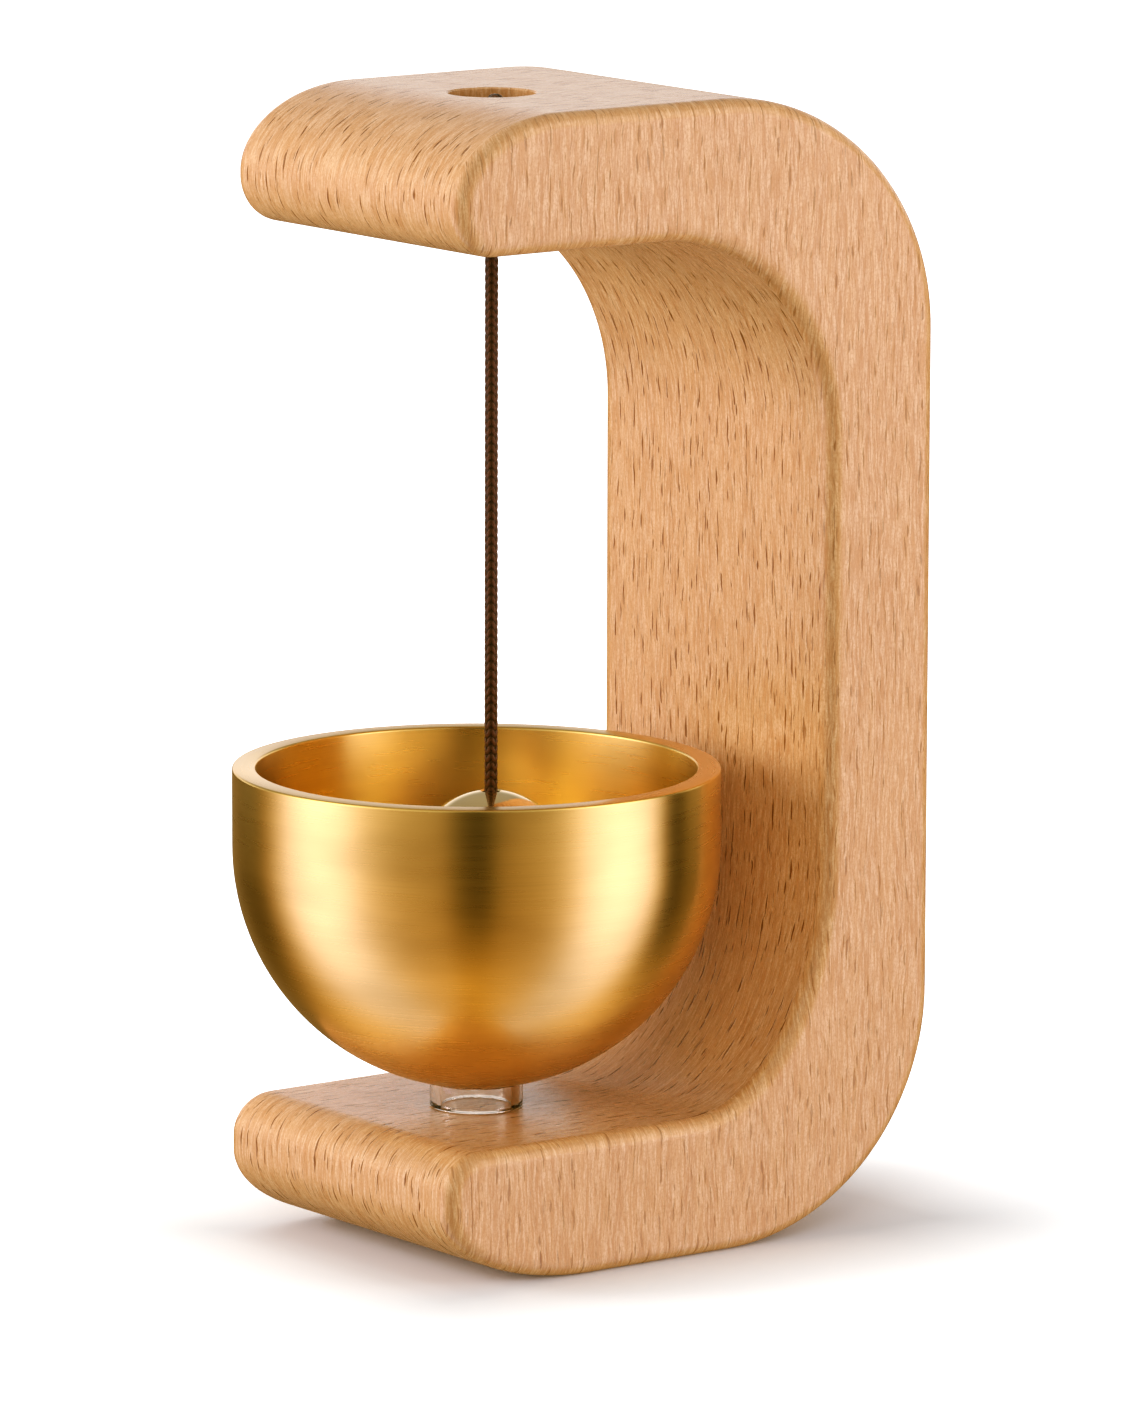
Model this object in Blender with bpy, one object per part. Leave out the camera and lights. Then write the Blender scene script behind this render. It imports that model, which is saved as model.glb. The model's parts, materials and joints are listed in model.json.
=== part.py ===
"""Shopkeeper's bell: a brass bowl and a hanging brass clapper in a C-shaped beech frame.

Units are metres, +Z is up, the open side of the frame faces -Y and the origin is
at the bottom centre of the whole object. The frame, the bowl and the clear ring
under it stand still. The clapper hangs on a cord from a hole in the upper arm:
it turns about the cord and swings about the hole's lower mouth.
"""

import math

import bmesh
import bpy

# Driving dimensions of the whole object
HEIGHT = 0.1425
DEPTH = 0.0831
BACK_Y = DEPTH / 2

# Wooden frame
FRAME_WIDTH = 0.0468
SPINE_THICKNESS = 0.0165
UPPER_ARM = 0.0167
LOWER_ARM = 0.0172
UPPER_TIP_Y = -0.0312
LOWER_TIP_Y = -0.0327
EDGE_ROUNDING = 0.0020
EDGE_SEGMENTS = 3
ARC_STEPS = 12
# Each rounding of the side outline: its half-axes along Y and along Z
BACK_LOWER = (0.0308, 0.0297)
BACK_UPPER = (0.0323, 0.0303)
UPPER_NOSE_TOP = (0.0163, 0.0103)
UPPER_NOSE_UNDER = (0.0060, 0.0060)
INNER_UPPER = (0.0252, 0.0259)
INNER_LOWER = (0.0199, 0.0302)
LOWER_NOSE_TOP = (0.0056, 0.0050)
LOWER_NOSE_UNDER = (0.0223, 0.0104)

# Brass bowl: a half sphere with a short straight collar
BOWL_RADIUS = 0.0300
BOWL_WALL = 0.0029
BOWL_COLLAR = 0.0098
BOWL_RIM_Z = 0.0597
BOWL_RIM_BEVEL = 0.0003
BOWL_Y = -BACK_Y + BOWL_RADIUS
BOWL_SEGMENTS = 72
BOWL_STEPS = 14

# Clear ring that holds the bowl off the lower arm
RING_RADIUS = 0.00575
RING_BORE = 0.00440
RING_SEGMENTS = 40

# Clapper and its cord
CORD_Y = BOWL_Y + 0.0022
CORD_RADIUS = 0.00075
CORD_STEP = 0.0040
CORD_BEVEL_RESOLUTION = 2
BALL_RADIUS = 0.0100
BALL_Z = 0.0465
BALL_BORE = 0.00115
BALL_MOUTH = 0.0004
BALL_RECESS = 0.0027
BALL_RECESS_DEPTH = 0.0043
BALL_SEGMENTS = 36
BALL_STEPS = 18
KNOT_RADIUS = 0.0023
UPPER_KNOT_HALF = 0.0022
LOWER_KNOT_HALF = 0.0018
KNOT_SEGMENTS = 16
KNOT_STEPS = 8

# Stepped hole for the cord in the upper arm
POCKET_RADIUS = 0.00535
POCKET_DEPTH = 0.0050
POCKET_BEVEL = 0.0004
CORD_HOLE = 0.0013
HOLE_SEGMENTS = 32
CUTTER_OVERRUN = 0.0020

# Clearance left between pieces that touch
GAP = 0.0003
PIVOT_GAP = 0.00015

PIVOT_Z = HEIGHT - UPPER_ARM
BOWL_CENTRE_Z = BOWL_RIM_Z - BOWL_COLLAR
UPPER_KNOT_Z = HEIGHT - POCKET_DEPTH + GAP + UPPER_KNOT_HALF
BALL_RECESS_Z = BALL_Z - BALL_RADIUS + BALL_RECESS_DEPTH
LOWER_KNOT_Z = BALL_RECESS_Z - GAP - LOWER_KNOT_HALF

MATERIALS = {
    "beech": ((0.74, 0.50, 0.31, 1.0), 0.45, 0.0),
    "brass_satin": ((0.80, 0.55, 0.20, 1.0), 0.30, 1.0),
    "brass_polished": ((0.85, 0.68, 0.38, 1.0), 0.12, 1.0),
    "clear_plastic": ((0.90, 0.88, 0.85, 1.0), 0.10, 0.0),
    "cord": ((0.09, 0.05, 0.035, 1.0), 0.70, 0.0),
}


def clear_scene():
    for obj in list(bpy.data.objects):
        bpy.data.objects.remove(obj, do_unlink=True)


def material(name):
    """The named Principled material, made on first use."""
    found = bpy.data.materials.get(name)
    if found:
        return found
    colour, roughness, metallic = MATERIALS[name]
    made = bpy.data.materials.new(name)
    made.use_nodes = True
    shader = made.node_tree.nodes["Principled BSDF"]
    shader.inputs["Base Color"].default_value = colour
    shader.inputs["Roughness"].default_value = roughness
    shader.inputs["Metallic"].default_value = metallic
    made.diffuse_color = colour
    return made


def add_object(name, bm, material_name, smooth_angle=math.radians(30)):
    """Turn a bmesh into a linked object with outward normals and smooth shading."""
    bmesh.ops.recalc_face_normals(bm, faces=bm.faces)
    mesh = bpy.data.meshes.new(name)
    bm.to_mesh(mesh)
    bm.free()
    mesh.shade_smooth()
    mesh.set_sharp_from_angle(angle=smooth_angle)
    obj = bpy.data.objects.new(name, mesh)
    bpy.context.collection.objects.link(obj)
    obj.data.materials.append(material(material_name))
    return obj


def arc(centre, half_axes, start, end, steps=ARC_STEPS):
    """Points of an elliptical arc, both ends included, angles in degrees."""
    points = []
    for i in range(steps + 1):
        angle = math.radians(start + (end - start) * i / steps)
        points.append((centre[0] + half_axes[0] * math.cos(angle),
                       centre[1] + half_axes[1] * math.sin(angle)))
    return points


def turned(profile, segments):
    """Solid of revolution about Z. A closed loop of (radius, z) points; radius 0 is a pole."""
    bm = bmesh.new()
    rings = []
    for radius, z in profile:
        if radius == 0.0:
            rings.append([bm.verts.new((0.0, 0.0, z))] * segments)
            continue
        turns = [2 * math.pi * i / segments for i in range(segments)]
        rings.append([bm.verts.new((radius * math.cos(a), radius * math.sin(a), z)) for a in turns])
    for here, there in zip(rings, rings[1:] + rings[:1]):
        for i in range(segments):
            j = (i + 1) % segments
            corners = list(dict.fromkeys([here[i], here[j], there[j], there[i]]))
            if len(corners) > 2:
                bm.faces.new(corners)
    return bm


def frame_outline():
    """Side outline of the frame as (y, z) points, counterclockwise seen from +X."""
    inner_y = BACK_Y - SPINE_THICKNESS
    upper_z = HEIGHT - UPPER_ARM
    corners = [
        ((BACK_Y - BACK_LOWER[0], BACK_LOWER[1]), BACK_LOWER, -90, 0),
        ((BACK_Y - BACK_UPPER[0], HEIGHT - BACK_UPPER[1]), BACK_UPPER, 0, 90),
        ((UPPER_TIP_Y + UPPER_NOSE_TOP[0], HEIGHT - UPPER_NOSE_TOP[1]), UPPER_NOSE_TOP, 90, 180),
        ((UPPER_TIP_Y + UPPER_NOSE_UNDER[0], upper_z + UPPER_NOSE_UNDER[1]), UPPER_NOSE_UNDER, 180, 270),
        ((inner_y - INNER_UPPER[0], upper_z - INNER_UPPER[1]), INNER_UPPER, 90, 0),
        ((inner_y - INNER_LOWER[0], LOWER_ARM + INNER_LOWER[1]), INNER_LOWER, 0, -90),
        ((LOWER_TIP_Y + LOWER_NOSE_TOP[0], LOWER_ARM - LOWER_NOSE_TOP[1]), LOWER_NOSE_TOP, 90, 180),
        ((LOWER_TIP_Y + LOWER_NOSE_UNDER[0], LOWER_NOSE_UNDER[1]), LOWER_NOSE_UNDER, 180, 270),
    ]
    points = []
    for centre, half_axes, start, end in corners:
        points += arc(centre, half_axes, start, end)
    return points


def cord_hole_cutter():
    """Stepped hole through the upper arm: a wide pocket for the knot, then the cord's own hole."""
    top = HEIGHT + CUTTER_OVERRUN
    floor = HEIGHT - POCKET_DEPTH
    mouth = POCKET_RADIUS + POCKET_BEVEL
    profile = [
        (0.0, top),
        (mouth + CUTTER_OVERRUN, top),
        (mouth, HEIGHT),
        (POCKET_RADIUS, HEIGHT - POCKET_BEVEL),
        (POCKET_RADIUS, floor),
        (CORD_HOLE, floor),
        (CORD_HOLE, PIVOT_Z + POCKET_BEVEL),
        (CORD_HOLE + POCKET_BEVEL + CUTTER_OVERRUN, PIVOT_Z - CUTTER_OVERRUN),
        (0.0, PIVOT_Z - CUTTER_OVERRUN),
    ]
    cutter = add_object("cord_hole_cutter", turned(profile, HOLE_SEGMENTS), "beech")
    cutter.location = (0.0, CORD_Y, 0.0)
    cutter.hide_render = True
    cutter.display_type = "WIRE"
    return cutter


def make_frame():
    """The one-piece wooden C: its side outline extruded across X, with rounded edges."""
    bm = bmesh.new()
    weight = bm.edges.layers.float.new("bevel_weight_edge")
    half = FRAME_WIDTH / 2
    face = bm.faces.new([bm.verts.new((-half, y, z)) for y, z in frame_outline()])
    extruded = bmesh.ops.extrude_face_region(bm, geom=[face])["geom"]
    moved = [item for item in extruded if isinstance(item, bmesh.types.BMVert)]
    bmesh.ops.translate(bm, verts=moved, vec=(FRAME_WIDTH, 0.0, 0.0))
    for edge in bm.edges:
        lies_in_a_side = edge.verts[0].co.x * edge.verts[1].co.x > 0
        edge[weight] = 1.0 if lies_in_a_side else 0.0
    frame = add_object("wood_frame", bm, "beech")

    rounding = frame.modifiers.new("edge_rounding", "BEVEL")
    rounding.width = EDGE_ROUNDING
    rounding.segments = EDGE_SEGMENTS
    rounding.limit_method = "WEIGHT"

    hole = frame.modifiers.new("cord_hole", "BOOLEAN")
    hole.operation = "DIFFERENCE"
    hole.object = cord_hole_cutter()
    return frame


def make_bowl():
    """Turned brass bowl, open at the top, with one wall thickness all over."""
    inner = BOWL_RADIUS - BOWL_WALL
    bevel = BOWL_RIM_BEVEL
    centre = (0.0, BOWL_CENTRE_Z)
    outside = arc(centre, (BOWL_RADIUS, BOWL_RADIUS), -90, 0, BOWL_STEPS)
    inside = arc(centre, (inner, inner), 0, -90, BOWL_STEPS)
    outside[0] = (0.0, BOWL_CENTRE_Z - BOWL_RADIUS)
    inside[-1] = (0.0, BOWL_CENTRE_Z - inner)
    rim = [
        (BOWL_RADIUS, BOWL_RIM_Z - bevel),
        (BOWL_RADIUS - bevel, BOWL_RIM_Z),
        (inner + bevel, BOWL_RIM_Z),
        (inner, BOWL_RIM_Z - bevel),
    ]
    bowl = add_object("bell_bowl", turned(outside + rim + inside, BOWL_SEGMENTS), "brass_satin")
    bowl.location = (0.0, BOWL_Y, 0.0)
    return bowl


def make_ring():
    """Clear ring between the lower arm and the bowl's round bottom."""
    drop = math.sqrt(BOWL_RADIUS ** 2 - RING_BORE ** 2)
    low = LOWER_ARM + GAP
    high = BOWL_CENTRE_Z - drop - GAP
    profile = [(RING_RADIUS, low), (RING_RADIUS, high), (RING_BORE, high), (RING_BORE, low)]
    ring = add_object("bowl_ring", turned(profile, RING_SEGMENTS), "clear_plastic")
    ring.location = (0.0, BOWL_Y, 0.0)
    return ring


def make_ball():
    """Solid brass ball, bored for the cord, with a recess below for the stop knot."""
    mouth = BALL_BORE + BALL_MOUTH
    top_angle = math.degrees(math.acos(mouth / BALL_RADIUS))
    low_angle = math.degrees(math.acos(BALL_RECESS / BALL_RADIUS))
    shell = arc((0.0, 0.0), (BALL_RADIUS, BALL_RADIUS), -low_angle, top_angle, BALL_STEPS)
    recess = BALL_RECESS_Z - BALL_Z
    bore = [
        (BALL_BORE, shell[-1][1] - BALL_MOUTH),
        (BALL_BORE, recess),
        (BALL_RECESS, recess),
    ]
    ball = add_object("clapper_ball", turned(shell + bore, BALL_SEGMENTS), "brass_polished")
    return ball


def make_knot(name, half_height):
    """Outer shape of a stop knot in the cord."""
    profile = arc((0.0, 0.0), (KNOT_RADIUS, half_height), -90, 90, KNOT_STEPS)
    profile[0] = (0.0, -half_height)
    profile[-1] = (0.0, half_height)
    return add_object(name, turned(profile, KNOT_SEGMENTS), "cord")


def make_cord(name, top, bottom):
    """A straight stretch of the hanging cord, from top to bottom along its own axis."""
    steps = max(2, round((top - bottom) / CORD_STEP))
    curve = bpy.data.curves.new(name, "CURVE")
    curve.dimensions = "3D"
    curve.resolution_u = 1
    curve.render_resolution_u = 0
    curve.bevel_depth = CORD_RADIUS
    curve.bevel_resolution = CORD_BEVEL_RESOLUTION
    curve.use_fill_caps = True
    spline = curve.splines.new("POLY")
    spline.points.add(steps)
    for i, point in enumerate(spline.points):
        point.co = (0.0, 0.0, top + (bottom - top) * i / steps, 1.0)
    cord = bpy.data.objects.new(name, curve)
    bpy.context.collection.objects.link(cord)
    cord.data.materials.append(material("cord"))
    return cord


def add_pivot(name, parent=None):
    """An empty at the cord's point of suspension, which carries the pieces that move."""
    pivot = bpy.data.objects.new(name, None)
    bpy.context.collection.objects.link(pivot)
    pivot.parent = parent
    if parent is None:
        pivot.location = (0.0, CORD_Y, PIVOT_Z)
    return pivot


def hang(obj, pivot, z):
    """Parent a piece to a pivot, with its own origin at the world height z on the cord's line."""
    obj.parent = pivot
    obj.location = (0.0, 0.0, z - PIVOT_Z)


def make_clapper():
    """Upper knot and cord neck turn in the hole; the cord below it swings with the ball."""
    turning = add_pivot("turn_pivot")
    swinging = add_pivot("swing_pivot", turning)

    hang(make_knot("upper_knot", UPPER_KNOT_HALF), turning, UPPER_KNOT_Z)
    neck_top = UPPER_KNOT_Z - UPPER_KNOT_HALF - GAP - PIVOT_Z
    hang(make_cord("cord_neck", neck_top, PIVOT_GAP), turning, PIVOT_Z)

    cord_end = LOWER_KNOT_Z + LOWER_KNOT_HALF + GAP - PIVOT_Z
    hang(make_cord("clapper_cord", -PIVOT_GAP, cord_end), swinging, PIVOT_Z)
    hang(make_ball(), swinging, BALL_Z)
    hang(make_knot("lower_knot", LOWER_KNOT_HALF), swinging, LOWER_KNOT_Z)


def main():
    clear_scene()
    make_frame()
    make_bowl()
    make_ring()
    make_clapper()


main()
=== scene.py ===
"""Looks of the shopkeeper's bell: lacquered beech, turned brass, clear ring and braided cord."""
import json
import math

import bmesh
import bpy
from mathutils import Matrix, Vector


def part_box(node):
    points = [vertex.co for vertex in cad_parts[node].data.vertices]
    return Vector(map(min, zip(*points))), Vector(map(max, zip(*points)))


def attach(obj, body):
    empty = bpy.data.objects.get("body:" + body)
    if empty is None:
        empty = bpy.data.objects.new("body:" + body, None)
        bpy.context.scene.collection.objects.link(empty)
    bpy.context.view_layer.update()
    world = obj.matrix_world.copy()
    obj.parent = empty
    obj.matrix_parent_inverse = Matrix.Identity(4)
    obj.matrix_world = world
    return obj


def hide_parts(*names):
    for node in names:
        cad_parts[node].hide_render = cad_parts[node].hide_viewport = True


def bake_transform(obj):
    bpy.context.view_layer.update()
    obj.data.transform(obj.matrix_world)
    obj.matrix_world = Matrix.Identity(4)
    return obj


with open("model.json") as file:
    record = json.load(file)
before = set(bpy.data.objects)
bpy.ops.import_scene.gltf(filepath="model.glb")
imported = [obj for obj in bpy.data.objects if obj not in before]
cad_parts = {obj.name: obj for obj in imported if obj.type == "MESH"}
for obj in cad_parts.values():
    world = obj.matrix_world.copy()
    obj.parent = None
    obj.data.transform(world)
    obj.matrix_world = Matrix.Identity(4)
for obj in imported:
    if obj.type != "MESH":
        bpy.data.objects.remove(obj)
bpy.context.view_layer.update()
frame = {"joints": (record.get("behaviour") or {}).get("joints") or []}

# ---------------------------------------------------------------- places, read from the frame
WOOD_LOW, WOOD_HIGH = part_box("wood_frame")
BOWL_LOW, BOWL_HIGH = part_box("bell_bowl")
BALL_LOW, BALL_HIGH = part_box("clapper_ball")
CORD_LOW, CORD_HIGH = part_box("clapper_cord")
UPPER_KNOT_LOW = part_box("upper_knot")[0]
LOWER_KNOT_LOW, LOWER_KNOT_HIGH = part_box("lower_knot")
JOINTS = {joint["name"]: joint for joint in frame["joints"]}
PIVOT = Vector(JOINTS["clapper_swing"]["pos_m"])
HEIGHT = WOOD_HIGH.z
HALF_WIDTH = WOOD_HIGH.x
BACK_Y = WOOD_HIGH.y
BOWL_RADIUS = (BOWL_HIGH.x - BOWL_LOW.x) / 2
BOWL_AXIS = Vector((0.0, (BOWL_LOW.y + BOWL_HIGH.y) / 2, 0.0))
BALL_RADIUS = (BALL_HIGH.x - BALL_LOW.x) / 2
CORD_AXIS = Vector((0.0, PIVOT.y, 0.0))
CORD_RADIUS = (CORD_HIGH.x - CORD_LOW.x) / 2

# ---------------------------------------------------------------- sizes of the wooden frame, in metres
SPINE_THICKNESS = 0.0165
UPPER_ARM = HEIGHT - PIVOT.z
LOWER_ARM = 0.0172
UPPER_TIP_Y = -0.0312
LOWER_TIP_Y = WOOD_LOW.y
EDGE_ROUNDING = 0.0020
EDGE_STEPS = 8
SUPPORT = 0.0003
ARC_STEP = math.radians(2.0)
STRAIGHT_STEP = 0.0015
ACROSS_STEP = 0.0020
# Each rounding of the side outline: its half-axes along Y and along Z
BACK_LOWER = (0.0308, 0.0297)
BACK_UPPER = (0.0323, 0.0303)
UPPER_NOSE_TOP = (0.0163, 0.0103)
UPPER_NOSE_UNDER = (0.0060, 0.0060)
INNER_UPPER = (0.0252, 0.0259)
INNER_LOWER = (0.0199, 0.0302)
LOWER_NOSE_TOP = (0.0056, 0.0050)
LOWER_NOSE_UNDER = (0.0223, 0.0104)
POCKET_RADIUS = 0.00535
POCKET_DEPTH = 0.0050
POCKET_BEVEL = 0.0002
CORD_HOLE = 0.0013
OVERRUN = 0.0020
HOLE_SEGMENTS = 96

# ---------------------------------------------------------------- sizes of the turned pieces, in metres
BOWL_WALL = 0.0029
BOWL_COLLAR = 0.0098
RIM_ROUNDING = 0.0003
RIM_STEP = math.radians(22.5)
BOWL_SEGMENTS = 192
BOWL_STEPS = 48
BALL_BORE = 0.00115
BALL_MOUTH = 0.0002
BALL_RECESS = 0.0027
BALL_RECESS_DEPTH = 0.0043
BALL_SEGMENTS = 96
BALL_STEPS = 60
RING_RADIUS = 0.00575
RING_BORE = 0.00440
RING_ROUNDING = 0.00015
RING_SEGMENTS = 96
TOUCH = 0.00002

# ---------------------------------------------------------------- braid of the cord
BRAID_CARRIERS = 8
BRAID_PITCH = 0.0083
BRAID_AROUND = 64
BRAID_FACING = math.radians(53.0)
BRAID_STEP = 0.0001
# In radii of the cord: core, swing of the weave, bulge of a strand, tip of an end
BRAID_CORE = 0.89
BRAID_WEAVE = 0.11
BRAID_BULGE = 0.14
BRAID_TIP = 0.25
# Height of a knot's arch, radius and pitch of its turns round the cord
KNOT_ARCH = 0.00080
KNOT_WRAP = 0.00155
KNOT_PITCH = 0.00150
KNOT_TOP = HEIGHT - 0.00012
UPPER_KNOT_TURNS = 1.35
LOWER_KNOT_TURNS = 1.0
ARCH_STEPS = 16
STEPS_PER_TURN = 32

# Millimetres in a metre, and the angles above which an edge is shaded sharp
MM = 1000.0
SHARP_METAL = math.radians(35)
SHARP_WOOD = math.radians(32)
WHITE = (1.0, 1.0, 1.0, 1.0)
BLACK = (0.0, 0.0, 0.0, 1.0)


# ================================================================ node and mesh helpers
class Graph:
    """Short calls for building a node tree. A value may be a number, a colour or a socket."""

    def __init__(self, tree):
        self.tree = tree

    def node(self, kind, **settings):
        made = self.tree.nodes.new(kind)
        for key, value in settings.items():
            setattr(made, key, value)
        return made

    def put(self, socket, value):
        if isinstance(value, bpy.types.NodeSocket):
            self.tree.links.new(value, socket)
        else:
            socket.default_value = value

    def math(self, operation, a, b=0.0, c=0.0):
        made = self.node("ShaderNodeMath", operation=operation)
        for socket, value in zip(made.inputs, (a, b, c)):
            self.put(socket, value)
        return made.outputs[0]

    def scaled(self, value, factor):
        return self.math("MULTIPLY", value, factor)

    def vector(self, x, y, z=0.0):
        made = self.node("ShaderNodeCombineXYZ")
        for socket, value in zip(made.inputs, (x, y, z)):
            self.put(socket, value)
        return made.outputs[0]

    def split(self, vector):
        made = self.node("ShaderNodeSeparateXYZ")
        self.put(made.inputs[0], vector)
        return made.outputs

    def uv(self, name):
        return self.split(self.node("ShaderNodeUVMap", uv_map=name).outputs["UV"])

    def noise(self, vector, detail=2.0, roughness=0.5, dimensions="2D"):
        made = self.node("ShaderNodeTexNoise", noise_dimensions=dimensions)
        self.put(made.inputs["Vector"], vector)
        made.inputs["Scale"].default_value = 1.0
        made.inputs["Detail"].default_value = detail
        made.inputs["Roughness"].default_value = roughness
        return made.outputs["Fac"]

    def ramp(self, value, stops):
        """Grey level that runs smoothly through the (position, level) stops."""
        made = self.node("ShaderNodeValToRGB")
        made.color_ramp.interpolation = "B_SPLINE"
        elements = made.color_ramp.elements
        for element, (position, level) in zip(elements, (stops[0], stops[-1])):
            element.position = position
            element.color = (level, level, level, 1.0)
        for position, level in stops[1:-1]:
            elements.new(position).color = (level, level, level, 1.0)
        self.put(made.inputs["Fac"], value)
        return made.outputs["Color"]

    def spread(self, value, low, high, to_low=0.0, to_high=1.0, smooth=True):
        """The value's way from low to high, as a way from to_low to to_high that stops at both."""
        kind = "SMOOTHSTEP" if smooth else "LINEAR"
        made = self.node("ShaderNodeMapRange", interpolation_type=kind)
        for name, number in (("Value", value), ("From Min", low), ("From Max", high),
                             ("To Min", to_low), ("To Max", to_high)):
            self.put(made.inputs[name], number)
        return made.outputs["Result"]

    def mix(self, factor, a, b, blend="MIX"):
        made = self.node("ShaderNodeMix", data_type="RGBA", blend_type=blend)
        self.put(made.inputs[0], factor)
        self.put(made.inputs[6], a)
        self.put(made.inputs[7], b)
        return made.outputs[2]

    def bump(self, height, distance, strength):
        made = self.node("ShaderNodeBump")
        made.inputs["Strength"].default_value = strength
        made.inputs["Distance"].default_value = distance
        self.put(made.inputs["Height"], height)
        return made.outputs["Normal"]


def new_material(name):
    """A fresh material, its graph and its Principled shader."""
    made = bpy.data.materials.new(name)
    made.use_nodes = True
    return made, Graph(made.node_tree), made.node_tree.nodes["Principled BSDF"]


def add_piece(name, mesh, material, sharp_angle=None):
    """Link a mesh as a smooth-shaded piece with its material."""
    mesh.shade_smooth()
    if sharp_angle is not None:
        mesh.set_sharp_from_angle(angle=sharp_angle)
    obj = bpy.data.objects.new(name, mesh)
    bpy.context.scene.collection.objects.link(obj)
    mesh.materials.clear()
    mesh.materials.append(material)
    return obj


def arc(centre, half_axes, start, end, step=ARC_STEP):
    """Points of an elliptical arc, both ends included, angles in degrees."""
    count = max(2, round(abs(math.radians(end - start)) / step))
    points = []
    for i in range(count + 1):
        angle = math.radians(start + (end - start) * i / count)
        points.append(Vector((centre[0] + half_axes[0] * math.cos(angle),
                              centre[1] + half_axes[1] * math.sin(angle))))
    return points


def turned(name, profile, segments, uv_radius):
    """Mesh of a closed (radius, z) loop turned about Z, with a UV of (way round, way along)."""
    bm = bmesh.new()
    uv = bm.loops.layers.uv.new("turned")
    rings = []
    for radius, z in profile:
        if radius == 0.0:
            rings.append([bm.verts.new((0.0, 0.0, z))] * segments)
            continue
        turns = [2 * math.pi * i / segments for i in range(segments)]
        rings.append([bm.verts.new((radius * math.cos(a), radius * math.sin(a), z)) for a in turns])
    lengths = [0.0]
    closed = profile + profile[:1]
    for here, there in zip(closed, closed[1:]):
        lengths.append(lengths[-1] + math.dist(here, there))
    for k, (here, there) in enumerate(zip(rings, rings[1:] + rings[:1])):
        for i in range(segments):
            j = (i + 1) % segments
            places = [(here[i], i, k), (here[j], i + 1, k), (there[j], i + 1, k + 1), (there[i], i, k + 1)]
            seen = {}
            for vertex, turn, row in places:
                seen.setdefault(vertex, (turn, row))
            if len(seen) < 3:
                continue
            face = bm.faces.new(list(seen))
            for loop in face.loops:
                turn, row = seen[loop.vert]
                loop[uv].uv = (2 * math.pi * turn / segments * uv_radius, lengths[row])
    bmesh.ops.recalc_face_normals(bm, faces=bm.faces)
    mesh = bpy.data.meshes.new(name)
    bm.to_mesh(mesh)
    bm.free()
    return mesh


# ================================================================ camera, light and floor
CAMERA_AZIMUTH = 53.06
CAMERA_DISTANCE = 1.1999
CAMERA_HEIGHT = 0.2772
CAMERA_YAW = 0.147
CAMERA_PITCH = 9.982
CAMERA_ROLL = 0.138
CAMERA_LENS = 253.3
CAMERA_ORIGIN_Y = 0.0052
SENSOR = 36.0
CLIP_END = 20.0


def make_camera():
    """Long lens, a little above the bell, looking at its open front corner."""
    data = bpy.data.cameras.new("camera")
    data.lens = CAMERA_LENS
    data.sensor_width = SENSOR
    data.clip_end = CLIP_END
    camera = bpy.data.objects.new("camera", data)
    bpy.context.scene.collection.objects.link(camera)
    azimuth = math.radians(CAMERA_AZIMUTH)
    camera.location = (math.sin(azimuth) * CAMERA_DISTANCE,
                       -math.cos(azimuth) * CAMERA_DISTANCE + CAMERA_ORIGIN_Y,
                       CAMERA_HEIGHT)
    turn = Matrix.Rotation(azimuth + math.radians(CAMERA_YAW), 4, "Z")
    tilt = Matrix.Rotation(math.radians(90.0 - CAMERA_PITCH), 4, "X")
    roll = Matrix.Rotation(math.radians(CAMERA_ROLL), 4, "Z")
    camera.rotation_euler = (turn @ tilt @ roll).to_euler()
    bpy.context.scene.camera = camera


AIM = Vector((0.0, 0.0, 0.070))
# name: azimuth from the camera's side, elevation, distance, width, height, power
SOFTBOXES = {
    "left_box": (-92.0, 12.0, 0.80, 0.36, 0.42, 4.6),
    "right_box": (79.0, 3.0, 0.80, 0.36, 0.26, 3.6),
    "top_box": (-140.0, 62.0, 1.00, 0.80, 0.80, 2.3),
    "front_fill": (-8.0, 20.0, 1.00, 0.50, 0.50, 2.7),
}
WORLD_FOR_DIFFUSE = 0.46
# What gloss sees round the horizon: azimuth from the camera's side and brightness
REFLECTED = [
    (-180.0, 0.30), (-160.0, 0.26), (-148.0, 0.17), (-124.0, 0.05), (-110.0, 0.62),
    (-98.0, 1.22), (-84.0, 1.72), (-72.0, 1.56), (-60.0, 1.05), (-48.0, 0.70), (-34.0, 0.48),
    (-16.0, 0.43), (-9.0, 0.15), (0.0, 0.04), (6.0, 0.04), (12.0, 0.30), (24.0, 0.38),
    (40.0, 0.53), (50.0, 0.95), (60.0, 1.35), (71.0, 1.68), (84.0, 1.56), (96.0, 0.90),
    (102.0, 0.10), (112.0, 0.0), (119.0, 0.22), (127.0, 0.24), (136.0, 0.16), (150.0, 0.06),
    (165.0, 0.20), (180.0, 0.30),
]
BRIGHTEST = 4.0
# Colour of the dark and of the bright bands, and the brightness where the change is complete
WARM = (1.0, 0.62, 0.24, 1.0)
BRIGHT = (1.0, 0.94, 1.35, 1.0)
BRIGHT_ABOVE = 1.4
# Heights here are the Z of a unit direction: from, to, and a brightness or a factor
HIGHER_IS_BRIGHTER = (0.05, 0.40, 1.0, 1.80)
REFLECTED_CEILING = (0.55, 0.90, 0.70)
REFLECTED_FLOOR = (-0.95, -0.40, 0.85)
UNTINTED_ABOVE = (0.08, 0.26)
# A pale wall behind the bell: azimuth where it starts on both sides, half its soft edge, brightness
REFLECTED_BEHIND = (118.0, 16.0, 1.25)
# Heights over which it starts, and heights over which it fades to the last number
BEHIND_STARTS = (-0.04, 0.08)
BEHIND_ENDS = (0.17, 0.46, 0.45)


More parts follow.
